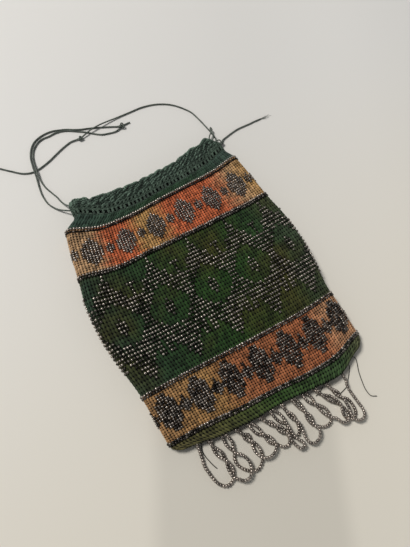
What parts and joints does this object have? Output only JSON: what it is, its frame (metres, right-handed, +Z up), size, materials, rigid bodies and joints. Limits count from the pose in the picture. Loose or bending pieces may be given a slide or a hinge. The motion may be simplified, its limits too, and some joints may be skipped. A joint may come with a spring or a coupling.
{
  "type": "beaded drawstring bag",
  "caption": "Small flat crocheted drawstring bag with beadwork bands, an eyelet collar, two cord drawstrings and a looped bead fringe, lying on its back.",
  "frame": {"origin": "on the table, under the middle of the bag and its fringe, cords left out", "axes": "+X across the bag to its right, +Y from the fringe towards the mouth, +Z up from the table"},
  "size_m": [0.2431, 0.3039, 0.0113],
  "materials": {
    "collar_yarn": "matte teal yarn",
    "red_orange_yarn": "matte space-dyed yarn, red-orange to mustard and tan",
    "mustard_yarn": "matte space-dyed yarn, mustard to orange",
    "green_yarn": "matte space-dyed yarn, dark teal to green",
    "hem_yarn": "matte green yarn",
    "steel_beads": "small faceted beads, dark with bright glints",
    "drawstring_cord": "matte twisted cord"
  },
  "bodies": {
    "root": {"collar": "collar_yarn", "collar_border_beads": "steel_beads", "fringe_loop_01": "steel_beads", "fringe_loop_02": "steel_beads", "fringe_loop_03": "steel_beads", "fringe_loop_04": "steel_beads", "fringe_loop_05": "steel_beads", "fringe_loop_06": "steel_beads", "fringe_loop_07": "steel_beads", "fringe_loop_08": "steel_beads", "fringe_loop_09": "steel_beads", "fringe_loop_10": "steel_beads", "fringe_loop_11": "steel_beads", "fringe_loop_12": "steel_beads", "green_band": "green_yarn", "green_foot_border_beads": "steel_beads", "green_top_border_beads": "steel_beads", "hem_band": "hem_yarn", "hem_border_beads": "steel_beads", "left_drawstring": "drawstring_cord", "left_tie": "drawstring_cord", "lower_crown_beads": "steel_beads", "lower_diamond_beads": "steel_beads", "lower_orange_band": "mustard_yarn", "oval_cluster_01": "steel_beads", "oval_cluster_02": "steel_beads", "oval_cluster_03": "steel_beads", "oval_cluster_04": "steel_beads", "oval_cluster_05": "steel_beads", "oval_cluster_06": "steel_beads", "oval_cluster_07": "steel_beads", "oval_cluster_08": "steel_beads", "oval_cluster_09": "steel_beads", "oval_cluster_10": "steel_beads", "right_bight": "drawstring_cord", "right_drawstring": "drawstring_cord", "right_end_knot": "drawstring_cord", "right_hitch": "drawstring_cord", "right_overhand": "drawstring_cord", "upper_crown_beads": "steel_beads", "upper_diamond_beads": "steel_beads", "upper_orange_band": "red_orange_yarn"}
  },
  "joints": []
}
